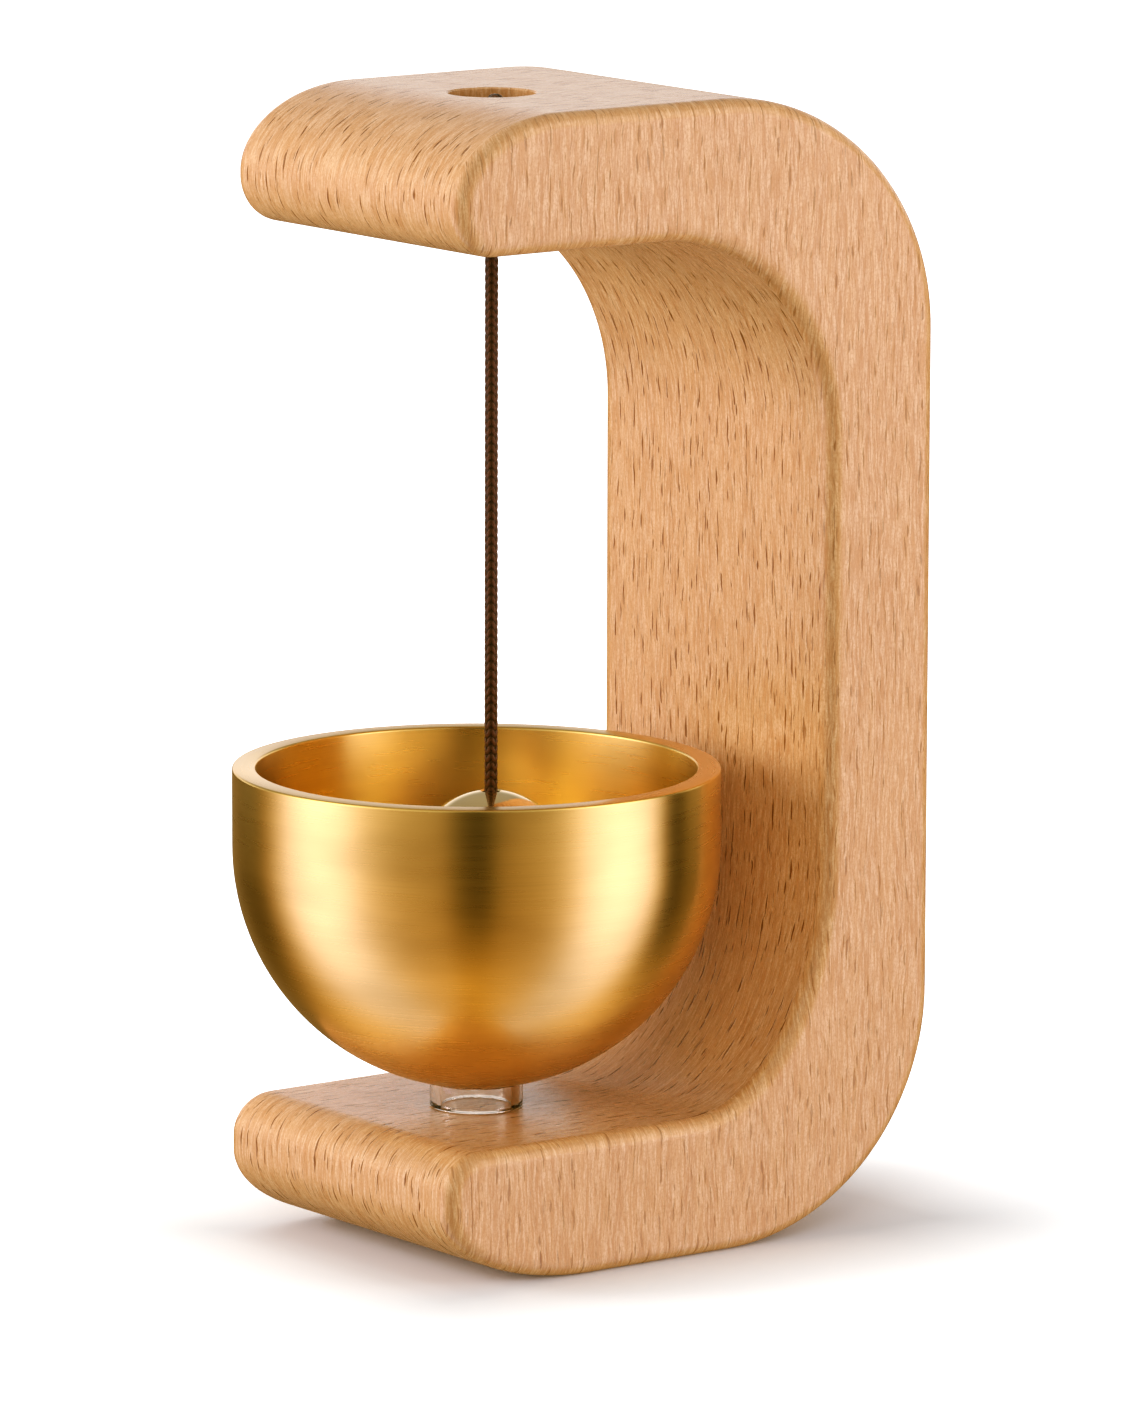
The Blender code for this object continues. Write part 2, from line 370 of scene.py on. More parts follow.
def aimed(obj, azimuth, elevation, distance):
    """Place an object round the bell, its -Z axis towards the bell."""
    a = math.radians(CAMERA_AZIMUTH + azimuth)
    e = math.radians(elevation)
    away = Vector((math.sin(a) * math.cos(e), -math.cos(a) * math.cos(e), math.sin(e)))
    obj.location = AIM + away * distance
    obj.rotation_euler = away.to_track_quat("Z", "Y").to_euler()


def make_lights():
    """Softboxes round the bell. They light surfaces; gloss sees only the painted world."""
    for name, (azimuth, elevation, distance, width, height, power) in SOFTBOXES.items():
        data = bpy.data.lights.new(name, "AREA")
        data.shape = "RECTANGLE"
        data.size = width
        data.size_y = height
        data.energy = power
        light = bpy.data.objects.new(name, data)
        bpy.context.scene.collection.objects.link(light)
        aimed(light, azimuth, elevation, distance)
        light.visible_glossy = False


def make_world():
    """White to the eye, even grey to matt surfaces, and tinted bands with dark gaps to gloss."""
    world = bpy.data.worlds.new("studio")
    world.use_nodes = True
    bpy.context.scene.world = world
    graph = Graph(world.node_tree)
    direction = graph.node("ShaderNodeTexCoord").outputs["Generated"]
    x, y, z = graph.split(direction)
    turn = math.radians(CAMERA_AZIMUTH)
    ahead = graph.math("MULTIPLY_ADD", x, math.sin(turn), graph.scaled(y, -math.cos(turn)))
    right = graph.math("MULTIPLY_ADD", x, math.cos(turn), graph.scaled(y, math.sin(turn)))
    azimuth = graph.math("DEGREES", graph.math("ARCTAN2", right, ahead))

    def towards(value, weight, goal):
        """The value at weight 0, the goal at weight 1."""
        return graph.math("MULTIPLY_ADD", weight, graph.math("SUBTRACT", goal, value), value)

    stops = [(az / 360.0 + 0.5, level / BRIGHTEST) for az, level in REFLECTED]
    bands = graph.ramp(graph.spread(azimuth, -180.0, 180.0, smooth=False), stops)
    bands = graph.scaled(bands, BRIGHTEST)
    gloss = graph.math("MULTIPLY", bands, graph.spread(z, *HIGHER_IS_BRIGHTER))
    low, high, brightness = REFLECTED_FLOOR
    gloss = towards(gloss, graph.spread(z, low, high, 1.0, 0.0), brightness)
    low, high, brightness = REFLECTED_CEILING
    gloss = towards(gloss, graph.spread(z, low, high), brightness)
    edge, soft, brightness = REFLECTED_BEHIND
    behind = graph.spread(graph.math("ABSOLUTE", azimuth), edge - soft, edge + soft)
    behind = graph.math("MULTIPLY", behind, graph.spread(z, *BEHIND_STARTS))
    low, high, fading = BEHIND_ENDS
    gloss = towards(gloss, behind, graph.spread(z, low, high, brightness, fading))

    rays = graph.node("ShaderNodeLightPath")
    seen = graph.math("MAXIMUM", rays.outputs["Is Camera Ray"], rays.outputs["Is Transmission Ray"])
    strength = towards(WORLD_FOR_DIFFUSE, rays.outputs["Is Glossy Ray"], gloss)
    strength = towards(strength, seen, 1.0)
    background = world.node_tree.nodes["Background"]
    untinted = graph.math("MAXIMUM", behind, graph.spread(z, *UNTINTED_ABOVE))
    tint = graph.mix(untinted, graph.mix(graph.spread(bands, 0.0, BRIGHT_ABOVE), WARM, BRIGHT), WHITE)
    graph.put(background.inputs["Color"], graph.mix(rays.outputs["Is Glossy Ray"], WHITE, tint))
    graph.put(background.inputs["Strength"], strength)


FLOOR_SIZE = 12.0
FLOOR_SEEN = 0.93
FLOOR_BOUNCE = 0.60
FLOOR_GLOW_NEAR = 0.0
FLOOR_GLOW_FAR = 1.1
FLOOR_GLOW_REACH = 0.050
FLOOR_GLOW_COLOUR = (0.94, 0.98, 1.0, 1.0)
FLOOR_ROUGHNESS = 0.9


def make_floor():
    """Plain white floor: bright to the eye, whiter away from the bell, softer as a bounce."""
    bm = bmesh.new()
    bmesh.ops.create_grid(bm, x_segments=1, y_segments=1, size=FLOOR_SIZE / 2)
    mesh = bpy.data.meshes.new("floor")
    bm.to_mesh(mesh)
    bm.free()
    paper, graph, shader = new_material("floor_paper")
    seen = graph.node("ShaderNodeLightPath").outputs["Is Camera Ray"]
    albedo = graph.spread(seen, 0.0, 1.0, FLOOR_BOUNCE, FLOOR_SEEN, False)
    graph.put(shader.inputs["Base Color"], graph.mix(albedo, BLACK, WHITE))
    shader.inputs["Roughness"].default_value = FLOOR_ROUGHNESS
    shader.inputs["Specular IOR Level"].default_value = 0.0
    x, y, _ = graph.split(graph.node("ShaderNodeTexCoord").outputs["Object"])
    middle_y = (WOOD_LOW.y + WOOD_HIGH.y) / 2
    aside = graph.math("SUBTRACT", graph.math("ABSOLUTE", x), HALF_WIDTH)
    along = graph.math("ABSOLUTE", graph.math("SUBTRACT", y, middle_y))
    along = graph.math("SUBTRACT", along, WOOD_HIGH.y - middle_y)
    outside = graph.vector(graph.math("MAXIMUM", aside, 0.0), graph.math("MAXIMUM", along, 0.0))
    away = graph.node("ShaderNodeVectorMath", operation="LENGTH")
    graph.put(away.inputs[0], outside)
    glow = graph.spread(away.outputs["Value"], 0.0, FLOOR_GLOW_REACH,
                        FLOOR_GLOW_NEAR, FLOOR_GLOW_FAR, False)
    shader.inputs["Emission Color"].default_value = FLOOR_GLOW_COLOUR
    graph.put(shader.inputs["Emission Strength"], graph.math("MULTIPLY", glow, seen))
    floor = add_piece("floor", mesh, paper)
    floor.visible_glossy = False


# ================================================================ wooden frame
def frame_outline():
    """Side outline as (y, z) points, counterclockwise seen from +X, evenly filled on its straights."""
    inner_y = BACK_Y - SPINE_THICKNESS
    upper_z = HEIGHT - UPPER_ARM
    corners = [
        ((BACK_Y - BACK_LOWER[0], BACK_LOWER[1]), BACK_LOWER, -90, 0),
        ((BACK_Y - BACK_UPPER[0], HEIGHT - BACK_UPPER[1]), BACK_UPPER, 0, 90),
        ((UPPER_TIP_Y + UPPER_NOSE_TOP[0], HEIGHT - UPPER_NOSE_TOP[1]), UPPER_NOSE_TOP, 90, 180),
        ((UPPER_TIP_Y + UPPER_NOSE_UNDER[0], upper_z + UPPER_NOSE_UNDER[1]), UPPER_NOSE_UNDER, 180, 270),
        ((inner_y - INNER_UPPER[0], upper_z - INNER_UPPER[1]), INNER_UPPER, 90, 0),
        ((inner_y - INNER_LOWER[0], LOWER_ARM + INNER_LOWER[1]), INNER_LOWER, 0, -90),
        ((LOWER_TIP_Y + LOWER_NOSE_TOP[0], LOWER_ARM - LOWER_NOSE_TOP[1]), LOWER_NOSE_TOP, 90, 180),
        ((LOWER_TIP_Y + LOWER_NOSE_UNDER[0], LOWER_NOSE_UNDER[1]), LOWER_NOSE_UNDER, 180, 270),
    ]
    arcs = [arc(*corner) for corner in corners]
    points = []
    for this, following in zip(arcs, arcs[1:] + arcs[:1]):
        points += this
        gap = following[0] - this[-1]
        count = max(1, round(gap.length / STRAIGHT_STEP))
        points += [this[-1] + gap * i / count for i in range(1, count)]
    return points


def outward_normals(points):
    """Unit normals of the closed outline, pointing out of the wood."""
    normals = []
    for before, after in zip(points[-1:] + points[:-1], points[1:] + points[:1]):
        along = (after - before).normalized()
        normals.append(Vector((along.y, -along.x)))
    return normals


def cross_columns():
    """Columns across X: (x, inset from the outline, way over the edge or None on the flat)."""
    flat = HALF_WIDTH - EDGE_ROUNDING
    count = round(2 * (flat - SUPPORT) / ACROSS_STEP)
    middle = [-flat + SUPPORT + 2 * (flat - SUPPORT) * i / count for i in range(count + 1)]
    columns = []
    for i in range(EDGE_STEPS + 1):
        angle = math.pi / 2 * i / EDGE_STEPS
        x = flat + EDGE_ROUNDING * math.cos(angle)
        inset = EDGE_ROUNDING * (1 - math.sin(angle))
        columns.append((x, inset, EDGE_ROUNDING * angle))
    left = [(-x, inset, way) for x, inset, way in columns]
    right = columns[::-1]
    return left + [(x, 0.0, None) for x in middle] + right


# Shift of U on the side faces (its sign is that of X) and on the faces ruled across X
SIDE_SHIFT = 0.40
RULED_SHIFT = 0.90


def frame_mesh():
    """Loft of the outline across X, with a UV in metres whose V runs along the grain."""
    points = frame_outline()
    normals = outward_normals(points)
    columns = cross_columns()
    lengths = [0.0]
    for here, there in zip(points, points[1:] + points[:1]):
        lengths.append(lengths[-1] + (there - here).length)
    bm = bmesh.new()
    uv = bm.loops.layers.uv.new("grain")
    rows = []
    for point, normal in zip(points, normals):
        inset_points = [(x, point - normal * inset) for x, inset, _ in columns]
        rows.append([bm.verts.new((x, p.x, p.y)) for x, p in inset_points])

    def side_uv(row, column):
        x, _, way = columns[column]
        place = points[row % len(points)] + normals[row % len(points)] * (way - EDGE_ROUNDING)
        return place.x + math.copysign(SIDE_SHIFT, x), place.y

    def ruled_uv(row, column):
        return columns[column][0] + RULED_SHIFT, lengths[row]

    for i in range(len(points)):
        here, there = rows[i], rows[(i + 1) % len(points)]
        for k in range(len(columns) - 1):
            face = bm.faces.new([here[k], here[k + 1], there[k + 1], there[k]])
            on_edge = columns[k][2] is not None and columns[k + 1][2] is not None
            place = side_uv if on_edge else ruled_uv
            for loop, (row, column) in zip(face.loops, [(i, k), (i, k + 1), (i + 1, k + 1), (i + 1, k)]):
                loop[uv].uv = place(row, column)

    for column in (0, len(columns) - 1):
        x = columns[column][0]
        deeper = [p - n * (EDGE_ROUNDING + SUPPORT) for p, n in zip(points, normals)]
        inner = [bm.verts.new((x, p.x, p.y)) for p in deeper]
        outer = [row[column] for row in rows]
        cap = [bm.faces.new(inner)]
        for i in range(len(points)):
            j = (i + 1) % len(points)
            cap.append(bm.faces.new([outer[i], outer[j], inner[j], inner[i]]))
        for face in cap:
            for loop in face.loops:
                loop[uv].uv = (loop.vert.co.y + math.copysign(SIDE_SHIFT, x), loop.vert.co.z)
    bmesh.ops.recalc_face_normals(bm, faces=bm.faces)
    mesh = bpy.data.meshes.new("beech_frame")
    bm.to_mesh(mesh)
    bm.free()
    return mesh


def hole_cutter():
    """Pocket for the upper knot and the cord's own hole below it."""
    top = HEIGHT + OVERRUN
    floor = HEIGHT - POCKET_DEPTH
    mouth = POCKET_RADIUS + POCKET_BEVEL
    profile = [
        (0.0, top),
        (mouth + OVERRUN, top),
        (mouth, HEIGHT),
        (POCKET_RADIUS, HEIGHT - POCKET_BEVEL),
        (POCKET_RADIUS, floor),
        (CORD_HOLE, floor),
        (CORD_HOLE, PIVOT.z + POCKET_BEVEL),
        (CORD_HOLE + POCKET_BEVEL + OVERRUN, PIVOT.z - OVERRUN),
        (0.0, PIVOT.z - OVERRUN),
    ]
    mesh = turned("hole_cutter", profile, HOLE_SEGMENTS, POCKET_RADIUS)
    mesh.uv_layers["turned"].name = "grain"
    cutter = bpy.data.objects.new("hole_cutter", mesh)
    bpy.context.scene.collection.objects.link(cutter)
    cutter.location = CORD_AXIS
    return cutter


FIBRE_DARK = (0.610, 0.325, 0.162, 1.0)
FIBRE_LIGHT = (0.785, 0.505, 0.302, 1.0)
HAIR_TONE = (0.490, 0.215, 0.085, 1.0)
VEIN_TONE = (0.840, 0.520, 0.270, 1.0)
PORE_TONE = (0.550, 0.258, 0.110, 1.0)
FLECK_TONE = (0.240, 0.086, 0.025, 1.0)
# Painted shade: a slight tint on the side faces that offsets the tint of the light they reflect
SIDE_PAINTED_SHADE = (0.97, 0.95, 0.92, 1.0)
# Waves per millimetre across and along the grain, detail and roughness of the noise
HAIR = (6.0, 0.45, 2.0, 0.6)
FIBRE = (2.8, 0.17, 3.0, 0.65)
VEIN = (0.50, 0.030, 2.0, 0.5)
PORES = (4.0, 2.6, 2.0, 0.7)
# Noise from and to, and the share of the tone at both
FIBRE_SPAN = (0.36, 0.64)
HAIR_SHARE = (0.38, 0.58, 0.42, 0.0)
VEIN_SHARE = (0.38, 0.66, 0.0, 0.16)
PORE_SHARE = (0.44, 0.66, 0.0, 0.40)
# Waves per millimetre across and along the grain, and how far (mm) they push it aside
SWAY = (0.09, 0.035, 2.4)
SHIVER = (0.9, 0.35, 0.45)
# Cell across and along, half width, half length (mm), share of cells with a fleck, shift of the cells
BOLD_FLECKS = (1.9, 3.9, 0.150, 2.0, 0.72, 3.7)
SLIM_FLECKS = (1.3, 3.0, 0.100, 1.4, 0.45, 11.3)
SMALL_FLECKS = (0.90, 1.7, 0.085, 0.65, 0.30, 27.1)
# Depth of their tone on the side faces and on the ruled faces
BOLD_DEPTH = (0.50, 1.0)
SLIM_DEPTH = (0.38, 0.85)
SMALL_DEPTH = (0.40, 0.55)
# Each fleck's own width and length, from and to; where its soft edge starts and ends
FLECK_WIDTHS = (0.55, 1.15)
FLECK_LENGTHS = (0.35, 1.1)
FLECK_EDGE = (0.45, 1.25)
FLECK_FADE = 0.25
WOOD_RELIEF = 0.00003
WOOD_RELIEF_STRENGTH = 0.6
WOOD_ROUGHNESS = (0.30, 0.22)
WOOD_SPECULAR = 0.60
WOOD_SHEEN = (1.0, 0.97, 0.84, 1.0)


def beech_material():
    """Steamed beech: fine fibre, short dark ray flecks along V, a satin finish."""
    made, graph, shader = new_material("beech")
    raw_u, raw_v, _ = graph.uv("grain")
    u = graph.scaled(raw_u, MM)
    v = graph.scaled(raw_v, MM)

    straight_u = u
    for along_u, along_v, push in (SWAY, SHIVER):
        wave = graph.noise(graph.vector(graph.scaled(straight_u, along_u), graph.scaled(v, along_v)))
        u = graph.math("MULTIPLY_ADD", graph.math("SUBTRACT", wave, 0.5), push, u)

    def field(along_u, along_v, detail, roughness):
        """Noise with so many waves to the millimetre across and along the grain."""
        place = graph.vector(graph.scaled(u, along_u), graph.scaled(v, along_v))
        return graph.noise(place, detail, roughness)

    def flecks(cell_u, cell_v, half_width, half_length, share, shift):
        """Thin pointed dashes along V, one at most in each Voronoi cell."""
        place = graph.vector(graph.math("MULTIPLY_ADD", u, 1 / cell_u, shift),
                             graph.math("MULTIPLY_ADD", v, 1 / cell_v, shift))
        cells = graph.node("ShaderNodeTexVoronoi", voronoi_dimensions="2D", feature="F1")
        graph.put(cells.inputs["Vector"], place)
        cells.inputs["Scale"].default_value = 1.0
        px, py, _ = graph.split(place)
        cx, cy, _ = graph.split(cells.outputs["Position"])
        chance, long, wide = graph.split(cells.outputs["Color"])
        du = graph.scaled(graph.math("SUBTRACT", px, cx), cell_u / half_width)
        dv = graph.scaled(graph.math("SUBTRACT", py, cy), cell_v / half_length)
        du = graph.math("DIVIDE", du, graph.spread(wide, 0.0, 1.0, *FLECK_WIDTHS, False))
        dv = graph.math("DIVIDE", dv, graph.spread(long, 0.0, 1.0, *FLECK_LENGTHS, False))
        shape = graph.math("ADD", graph.math("ABSOLUTE", du), graph.math("MULTIPLY", dv, dv))
        mark = graph.spread(shape, *FLECK_EDGE, 1.0, 0.0)
        least = 1 - share
        strength = graph.spread(chance, least, min(1.0, least + FLECK_FADE), 0.0, 1.0, False)
        return graph.math("MULTIPLY", mark, strength)

    bold = flecks(*BOLD_FLECKS)
    slim = flecks(*SLIM_FLECKS)
    small = flecks(*SMALL_FLECKS)
    hair = field(*HAIR)
    fibre = field(*FIBRE)
    vein = field(*VEIN)
    pores = field(*PORES)

    tone = graph.mix(graph.spread(fibre, *FIBRE_SPAN), FIBRE_DARK, FIBRE_LIGHT)
    tone = graph.mix(graph.spread(hair, *HAIR_SHARE), tone, HAIR_TONE)
    tone = graph.mix(graph.spread(vein, *VEIN_SHARE), tone, VEIN_TONE)
    tone = graph.mix(graph.spread(pores, *PORE_SHARE), tone, PORE_TONE)
    ruled = graph.spread(raw_u, SIDE_SHIFT, RULED_SHIFT)
    # Painted shade: the side faces get a slight tint against the tint of the light they reflect
    tone = graph.mix(1.0, tone, graph.mix(ruled, SIDE_PAINTED_SHADE, WHITE), "MULTIPLY")
    for marks, (on_side, on_ruled) in ((bold, BOLD_DEPTH), (slim, SLIM_DEPTH), (small, SMALL_DEPTH)):
        depth = graph.math("MULTIPLY_ADD", ruled, on_ruled - on_side, on_side)
        tone = graph.mix(graph.math("MULTIPLY", marks, depth), tone, FLECK_TONE)
    graph.put(shader.inputs["Base Color"], tone)

    grooves = graph.math("MAXIMUM", bold, graph.scaled(slim, 0.7))
    height = graph.math("SUBTRACT", graph.scaled(fibre, 0.5), grooves)
    height = graph.math("MULTIPLY_ADD", pores, 0.5, height)
    graph.put(shader.inputs["Normal"], graph.bump(height, WOOD_RELIEF, WOOD_RELIEF_STRENGTH))
    graph.put(shader.inputs["Roughness"], graph.spread(fibre, 0.2, 0.8, *WOOD_ROUGHNESS, False))
    shader.inputs["Specular IOR Level"].default_value = WOOD_SPECULAR
    shader.inputs["Specular Tint"].default_value = WOOD_SHEEN
    return made


def make_wood():
    """The frame, with the pocket and the cord's hole cut out of it."""
    wood = add_piece("beech_frame", frame_mesh(), beech_material())
    cutter = hole_cutter()
    cutter.data.materials.append(wood.data.materials[0])
    cut = wood.modifiers.new("cord_hole", "BOOLEAN")
    cut.operation = "DIFFERENCE"
    cut.object = cutter
    bpy.context.view_layer.update()
    evaluated = wood.evaluated_get(bpy.context.evaluated_depsgraph_get())
    mesh = bpy.data.meshes.new_from_object(evaluated)
    wood.modifiers.remove(cut)
    wood.data = mesh
    mesh.shade_smooth()
    mesh.set_sharp_from_angle(angle=SHARP_WOOD)
    bpy.data.objects.remove(cutter)
    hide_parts("wood_frame")
    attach(wood, "frame")


# ================================================================ brass
SATIN_BRASS = (0.95, 0.66, 0.24)
POLISHED_BRASS = (0.90, 0.66, 0.36)
# Painted shade: colour factor that darkens the bowl's flat rim so that its reflection shows less bright
RIM_PAINTED_SHADE = (0.80, 0.68, 0.52, 1.0)
# Waves per millimetre round the axis and along the profile, detail and roughness of the noise
FINE_LINES = (0.05, 7.0, 3.0, 0.6)
STROKES = (0.08, 2.5, 2.0, 0.6)
DRIFT = (0.05, 0.12, 2.0, 0.5)
DARKER = 0.86
LIGHTER = 1.06
SMOOTHER = 0.96
ROUGHER = 1.05
LINE_SHARE = 0.25
BRASS_RELIEF = 0.000004
BRUSH_DEPTH = 0.07
QUARTER_TURN = 0.25
LACQUER = 0.25
LACQUER_ROUGHNESS = 0.18


def brass_material(name, colour, roughness, brush, anisotropy, rim=None):
    """Turned brass: fine lines run round the axis, with a slow drift of tone.

    brush is how plainly the lines show, and rim is where a painted shade darkens the rim, from its start
    to its end along the profile.
    """
    made, graph, shader = new_material(name)
    _, raw_v, _ = graph.uv("turned")
    x, y, _ = graph.split(graph.node("ShaderNodeTexCoord").outputs["Object"])

    def field(round_axis, along, detail, roughness):
        """Noise with so many waves to the millimetre round the axis and along the profile."""
        place = graph.vector(graph.scaled(x, round_axis * MM), graph.scaled(y, round_axis * MM),
                             graph.scaled(raw_v, along * MM))
        return graph.noise(place, detail, roughness, "3D")

    fine = field(*FINE_LINES)
    strokes = field(*STROKES)
    drift = field(*DRIFT)
    darker = tuple(c * DARKER for c in colour) + (1.0,)
    lighter = tuple(min(1.0, c * LIGHTER) for c in colour) + (1.0,)
    tone = graph.mix(graph.spread(drift, 0.3, 0.7), darker, lighter)
    tone = graph.mix(graph.spread(fine, 0.40, 0.75, 0.0, LINE_SHARE * brush), tone, darker)
    if rim:
        # Painted shade on the rim: the colour is darkened between the rim's two edges
        painted_rim_shade = graph.math("MULTIPLY", graph.spread(raw_v, rim[0] - RIM_ROUNDING, rim[0]),
                            graph.spread(raw_v, rim[1] - RIM_ROUNDING, rim[1], 1.0, 0.0))
        tone = graph.mix(painted_rim_shade, tone, RIM_PAINTED_SHADE, "MULTIPLY")
    graph.put(shader.inputs["Base Color"], tone)
    shader.inputs["Metallic"].default_value = 1.0
    rough = graph.spread(strokes, 0.3, 0.7, roughness * SMOOTHER, roughness * ROUGHER, False)
    graph.put(shader.inputs["Roughness"], rough)
    lines = graph.math("MULTIPLY_ADD", strokes, 0.6, fine)
    graph.put(shader.inputs["Normal"], graph.bump(lines, BRASS_RELIEF, BRUSH_DEPTH * brush))
    shader.inputs["Anisotropic"].default_value = anisotropy
    shader.inputs["Anisotropic Rotation"].default_value = QUARTER_TURN
    tangent = graph.node("ShaderNodeTangent", direction_type="UV_MAP", uv_map="turned")
    graph.put(shader.inputs["Tangent"], tangent.outputs[0])
    return made, shader


def make_bowl():
    """Half sphere with a straight collar and a flat rim with softened edges."""
    centre_z = BOWL_HIGH.z - BOWL_COLLAR
    inner = BOWL_RADIUS - BOWL_WALL
    step = math.pi / 2 / BOWL_STEPS
    outside = arc((0.0, centre_z), (BOWL_RADIUS, BOWL_RADIUS), -90, 0, step)
    inside = arc((0.0, centre_z), (inner, inner), 0, -90, step)
    low = BOWL_HIGH.z - RIM_ROUNDING
    soft = (RIM_ROUNDING, RIM_ROUNDING)
    rim = arc((BOWL_RADIUS - RIM_ROUNDING, low), soft, 0, 90, RIM_STEP)
    rim += arc((inner + RIM_ROUNDING, low), soft, 90, 180, RIM_STEP)
    profile = [(p.x, p.y) for p in outside[1:] + rim + inside[:-1]]
    profile = [(0.0, centre_z - BOWL_RADIUS)] + profile + [(0.0, centre_z - inner)]
    mesh = turned("brass_bowl", profile, BOWL_SEGMENTS, BOWL_RADIUS)
    # The flat rim gets a painted shade from its outer to its inner edge
    rim_start = BOWL_RADIUS * math.pi / 2 + BOWL_COLLAR
    brass, shader = brass_material("brass_satin", SATIN_BRASS, roughness=0.28, brush=1.0, anisotropy=0.80,
                                   rim=(rim_start, rim_start + BOWL_WALL))
    shader.inputs["Coat Weight"].default_value = LACQUER
    shader.inputs["Coat Roughness"].default_value = LACQUER_ROUGHNESS
    bowl = add_piece("brass_bowl", mesh, brass, SHARP_METAL)
    bowl.location = BOWL_AXIS
    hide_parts("bell_bowl")
    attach(bowl, "frame")


def make_ball():
    """Polished ball, bored through, with a recess below for the stop knot."""
    centre_z = BALL_LOW.z + math.sqrt(BALL_RADIUS ** 2 - BALL_RECESS ** 2)
    mouth = BALL_BORE + BALL_MOUTH
    top_angle = math.degrees(math.acos(mouth / BALL_RADIUS))
    low_angle = math.degrees(math.acos(BALL_RECESS / BALL_RADIUS))
    shell = arc((0.0, centre_z), (BALL_RADIUS, BALL_RADIUS), -low_angle, top_angle, math.pi / BALL_STEPS)
    recess = centre_z - BALL_RADIUS + BALL_RECESS_DEPTH
    profile = [(p.x, p.y) for p in shell]
    profile += [(BALL_BORE, profile[-1][1] - BALL_MOUTH), (BALL_BORE, recess), (BALL_RECESS, recess)]
    mesh = turned("brass_clapper", profile, BALL_SEGMENTS, BALL_RADIUS)
    brass, _ = brass_material("brass_polished", POLISHED_BRASS, roughness=0.10, brush=0.25, anisotropy=0.0)
    ball = add_piece("brass_clapper", mesh, brass, SHARP_METAL)
    ball.location = CORD_AXIS
    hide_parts("clapper_ball")
    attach(ball, "clapper")


# ================================================================ clear ring
CLEAR_TINT = (0.95, 0.89, 0.83, 1.0)
CLEAR_IOR = 1.42
CLEAR_RELIEF = 0.00001
CLEAR_RELIEF_STRENGTH = 0.3
CLEAR_ROUGHNESS = (0.02, 0.10)
# Waves of its scuffs per millimetre round the axis and along the profile
SCUFF_ROUND = 0.8
SCUFF_ALONG = 5.0


def make_ring():
    """Clear tube that stands on the arm and meets the bowl's round bottom."""
    centre_z = BOWL_HIGH.z - BOWL_COLLAR
    low = LOWER_ARM + TOUCH

    def top(radius):
        """Height where the bowl's underside is met at this radius."""
        return centre_z - math.sqrt(BOWL_RADIUS ** 2 - radius ** 2) - TOUCH

    soft = RING_ROUNDING
    profile = [
        (RING_RADIUS - soft, low),
        (RING_RADIUS, low + soft),
        (RING_RADIUS, top(RING_RADIUS) - soft),
        (RING_RADIUS - soft, top(RING_RADIUS - soft)),
        (RING_BORE + soft, top(RING_BORE + soft)),
        (RING_BORE, top(RING_BORE) - soft),
        (RING_BORE, low + soft),
        (RING_BORE + soft, low),
    ]
    mesh = turned("clear_ring", profile, RING_SEGMENTS, RING_RADIUS)
    clear, graph, shader = new_material("clear_plastic")
    shader.inputs["Base Color"].default_value = CLEAR_TINT
    shader.inputs["Transmission Weight"].default_value = 1.0
    shader.inputs["IOR"].default_value = CLEAR_IOR
    raw_u, raw_v, _ = graph.uv("turned")
    place = graph.vector(graph.scaled(raw_u, SCUFF_ROUND * MM), graph.scaled(raw_v, SCUFF_ALONG * MM))
    scuff = graph.noise(place, 3.0, 0.6)
    graph.put(shader.inputs["Roughness"], graph.spread(scuff, 0.35, 0.8, *CLEAR_ROUGHNESS))
    graph.put(shader.inputs["Normal"], graph.bump(scuff, CLEAR_RELIEF, CLEAR_RELIEF_STRENGTH))
    ring = add_piece("clear_ring", mesh, clear, SHARP_METAL)
    ring.location = BOWL_AXIS
    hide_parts("bowl_ring")
    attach(ring, "frame")


# ================================================================ braided cord and its knots
def braid_relief(turn, way):
    """Relative radius of a two-over, two-under braid, its crest and its place across and along."""
    unit = 2 * math.pi / BRAID_CARRIERS
    slope = 2 * math.pi * way / BRAID_PITCH
    a = (turn - slope) / unit
    b = (turn + slope) / unit
    best = None
    for own, other, phase in ((a, b, 1.0), (b, a, 3.0)):
        strand = round(own)
        across = own - strand
        level = math.cos(math.pi / 2 * (strand + other - phase))
        round_top = math.sqrt(max(0.0, 1 - (2 * across) ** 2))
        height = BRAID_WEAVE * level + BRAID_BULGE * round_top
        if best is None or height > best[0]:
            best = (height, across, other)
    height, across, along = best
    crest = (height + BRAID_WEAVE) / (2 * BRAID_WEAVE + BRAID_BULGE)
    return BRAID_CORE + height, crest, across, along


def resampled(points, step):
    """The polyline again with even spacing close to step."""
    lengths = [0.0]
    for here, there in zip(points, points[1:]):
        lengths.append(lengths[-1] + (there - here).length)
    count = max(2, round(lengths[-1] / step))
    made = []
    k = 0
    for i in range(count + 1):
        target = lengths[-1] * i / count
        while k < len(points) - 2 and lengths[k + 1] < target:
            k += 1
        span = lengths[k + 1] - lengths[k]
        made.append(points[k].lerp(points[k + 1], (target - lengths[k]) / span))
    return made


